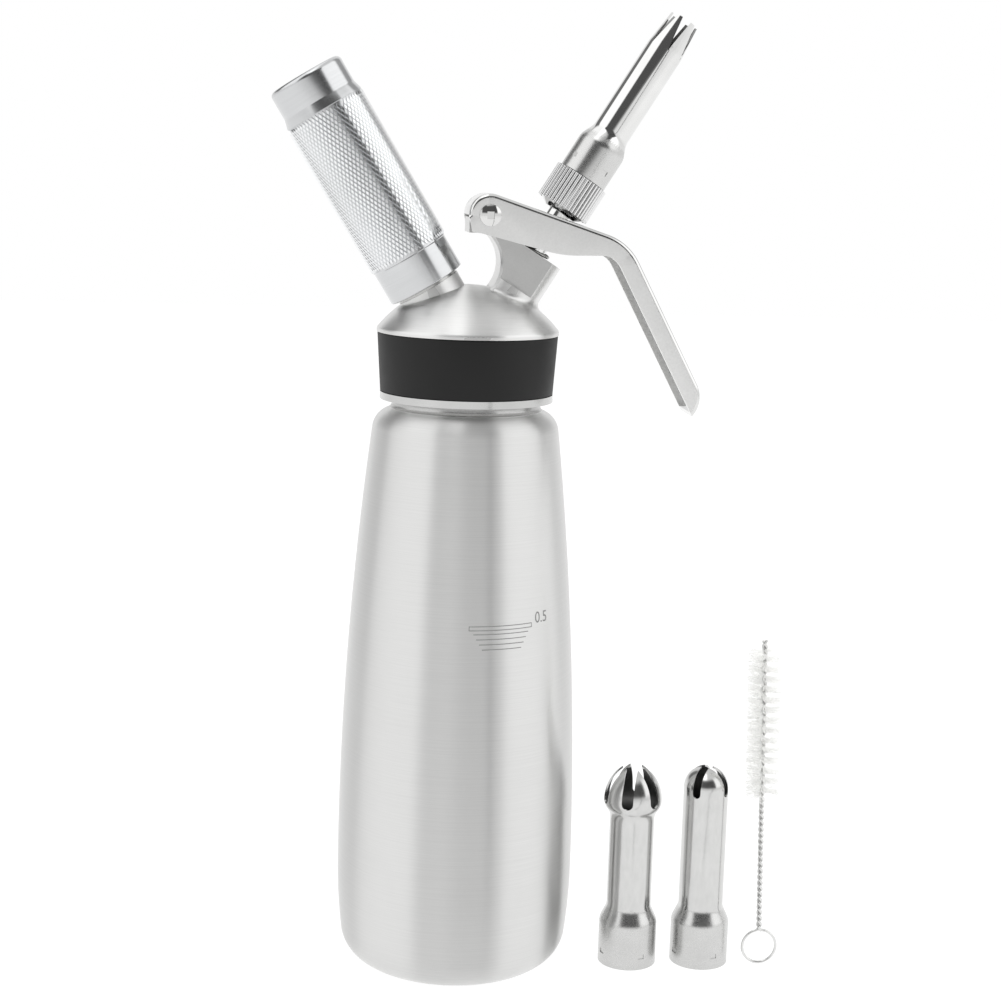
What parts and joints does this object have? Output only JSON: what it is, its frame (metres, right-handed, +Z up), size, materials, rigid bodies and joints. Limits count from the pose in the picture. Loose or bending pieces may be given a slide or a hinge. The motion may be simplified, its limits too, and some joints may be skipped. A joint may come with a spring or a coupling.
{
  "type": "whipped cream dispenser",
  "caption": "Steel whipped cream dispenser with a screw-on head, squeeze lever, knurled gas charger holder, fitted star tip, spare tips and a cleaning brush.",
  "frame": {"origin": "centre of the bottle's foot, on the surface it stands on", "axes": "+Z up along the bottle; +X from the bottle's axis towards the lever and the tip; the head is symmetric about Y = 0"},
  "size_m": [0.171, 0.0778, 0.3106],
  "materials": {
    "bottle_steel": "stainless steel, finely brushed round the axis",
    "head_steel": "stainless steel, satin",
    "band_silicone": "black silicone, matte",
    "holder_aluminium": "bright turned aluminium, diamond knurl on the grip",
    "polished_steel": "stainless steel, polished",
    "inner_steel": "stainless steel, plain turned",
    "charger_steel": "bare drawn steel",
    "seal_rubber": "black rubber",
    "gasket_silicone": "milky silicone",
    "bush_brass": "turned brass",
    "brush_steel": "bare twisted wire",
    "bristle_nylon": "white nylon bristles"
  },
  "bodies": {
    "bottle": {"bottle": "bottle_steel"},
    "gasket": {"head_gasket": "gasket_silicone"},
    "head": {"head_body": "head_steel", "grip_band": "band_silicone", "inlet_nipple": "inner_steel", "piercing_pin": "inner_steel", "inlet_seal": "seal_rubber", "inlet_check_valve": "seal_rubber", "stem_bush": "bush_brass", "stem_ring": "seal_rubber", "valve_spring": "inner_steel"},
    "lever": {"lever": "polished_steel", "lever_pin": "polished_steel", "lever_pin_cap": "polished_steel"},
    "valve": {"valve_stem": "inner_steel", "valve_head": "inner_steel", "valve_seal": "seal_rubber"},
    "charger": {"charger": "charger_steel"},
    "holder": {"charger_holder": "holder_aluminium"},
    "adapter_seal": {"adapter_seal": "seal_rubber"},
    "adapter": {"tip_adapter": "polished_steel"},
    "tip_seal": {"tip_seal": "seal_rubber"},
    "tip": {"star_tip": "polished_steel", "star_tip_insert": "inner_steel"},
    "tulip": {"tulip_tip": "polished_steel", "tulip_tip_insert": "inner_steel"},
    "straight": {"straight_tip": "polished_steel", "straight_tip_insert": "inner_steel"},
    "brush": {"brush_wire": "brush_steel", "brush_bristles": "bristle_nylon"}
  },
  "joints": [
    {"name": "head_lift", "type": "slide", "parent": "bottle", "child": "gasket", "axis": [0, 0, 1], "range_m": [0, 0.017]},
    {"name": "head_turn", "type": "hinge", "parent": "gasket", "child": "head", "pos_m": [0, 0, 0.2067], "axis": [0, 0, 1], "range_deg": [0, 1536]},
    {"name": "lever_squeeze", "type": "hinge", "parent": "head", "child": "lever", "pos_m": [0.00525, 0, 0.24617], "axis": [0, 1, 0], "range_deg": [0, 14], "stiffness_Nm_per_rad": 4, "springref_deg": -8.59},
    {"name": "valve_stroke", "type": "slide", "parent": "head", "child": "valve", "axis": [-0.5255, 0, -0.8508], "range_m": [0, 0.00395], "deforming": ["valve_spring"]},
    {"name": "charger_lift", "type": "slide", "parent": "head", "child": "charger", "axis": [-0.5255, 0, 0.8508], "range_m": [0, 0.0108]},
    {"name": "holder_turn", "type": "hinge", "parent": "charger", "child": "holder", "pos_m": [-0.01576, 0, 0.22722], "axis": [-0.5255, 0, 0.8508], "range_deg": [0, 2600]},
    {"name": "adapter_lift", "type": "slide", "parent": "valve", "child": "adapter_seal", "axis": [0.5255, 0, 0.8508], "range_m": [0, 0.00675]},
    {"name": "adapter_turn", "type": "hinge", "parent": "adapter_seal", "child": "adapter", "pos_m": [0.03205, 0, 0.2536], "axis": [0.5255, 0, 0.8508], "range_deg": [0, 1950]},
    {"name": "tip_lift", "type": "slide", "parent": "adapter", "child": "tip_seal", "axis": [0.5255, 0, 0.8508], "range_m": [0, 0.0075]},
    {"name": "tip_turn", "type": "hinge", "parent": "tip_seal", "child": "tip", "pos_m": [0.03678, 0, 0.26126], "axis": [0.5255, 0, 0.8508], "range_deg": [0, 2168]},
    {"name": "tulip_tip_lift", "type": "slide", "parent": "bottle", "child": "tulip", "axis": [0, 0, 1], "range_m": [0, 0.08]},
    {"name": "straight_tip_lift", "type": "slide", "parent": "bottle", "child": "straight", "axis": [0, 0, 1], "range_m": [0, 0.08]},
    {"name": "brush_lift", "type": "slide", "parent": "bottle", "child": "brush", "axis": [0, 0, 1], "range_m": [0, 0.12]}
  ],
  "couplings": [
    {"joint": "head_turn", "follows": "head_lift", "rad_per_m": 1570.8},
    {"joint": "valve_stroke", "follows": "lever_squeeze", "m_per_rad": 0.016},
    {"joint": "holder_turn", "follows": "charger_lift", "rad_per_m": 4188.8},
    {"joint": "adapter_turn", "follows": "adapter_lift", "rad_per_m": 5026.5},
    {"joint": "tip_turn", "follows": "tip_lift", "rad_per_m": 5026.5}
  ]
}
